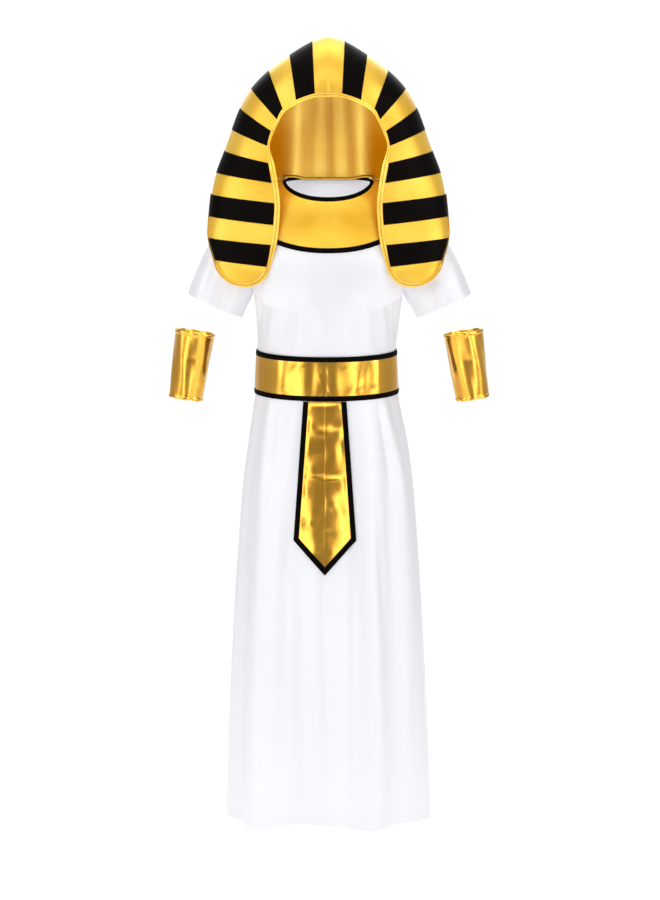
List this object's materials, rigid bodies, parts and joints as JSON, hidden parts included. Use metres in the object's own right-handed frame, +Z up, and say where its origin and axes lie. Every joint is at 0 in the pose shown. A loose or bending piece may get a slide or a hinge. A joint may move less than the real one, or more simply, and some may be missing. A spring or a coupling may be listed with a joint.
{
  "type": "egyptian costume",
  "caption": "Child's pharaoh costume: ankle-length robe with collar, belt and hanging tab, striped headdress and two wrist cuffs, filled out but empty.",
  "frame": {"origin": "the centre of the neck at shoulder level, where the costume hangs on its wearer or on a stand", "axes": "+Z up along the body, the front faces -Y, +X is to the viewer's right when the front is seen"},
  "size_m": [0.5321, 0.2695, 1.3087],
  "materials": {
    "white_cloth": "soft white polyester satin with a slight sheen",
    "gold_satin": "gold satin",
    "gold_binding": "gold satin, folded and stitched",
    "gold_lining": "shiny gold lining",
    "gold_lame": "gold foil cloth, strongly reflecting",
    "black_satin": "black satin",
    "black_binding": "matt black binding tape"
  },
  "bodies": {
    "root": {"bodice_front": "white_cloth", "skirt_front": "white_cloth", "bodice_back": "white_cloth", "skirt_back": "white_cloth", "sleeve_left": "white_cloth", "sleeve_right": "white_cloth", "neck_binding": "black_binding", "collar_left": "gold_satin", "collar_edge_left": "black_binding", "belt_left": "gold_lame", "belt_top_edge_left": "black_binding", "belt_bottom_edge_left": "black_binding", "tab_left": "gold_lame", "tab_border_left": "black_binding", "hood_left": "gold_satin", "hood_lining_left": "gold_lining", "hood_binding_left": "gold_binding", "band_1_left": "black_satin", "band_2_left": "black_satin", "band_3_left": "black_satin", "band_4_left": "black_satin", "band_5_left": "black_satin", "band_6_left": "black_satin", "cuff_left": "gold_lame", "collar_right": "gold_satin", "collar_edge_right": "black_binding", "belt_right": "gold_lame", "belt_top_edge_right": "black_binding", "belt_bottom_edge_right": "black_binding", "tab_right": "gold_lame", "tab_border_right": "black_binding", "hood_right": "gold_satin", "hood_lining_right": "gold_lining", "hood_binding_right": "gold_binding", "band_1_right": "black_satin", "band_2_right": "black_satin", "band_3_right": "black_satin", "band_4_right": "black_satin", "band_5_right": "black_satin", "band_6_right": "black_satin", "cuff_right": "gold_lame"}
  },
  "joints": []
}
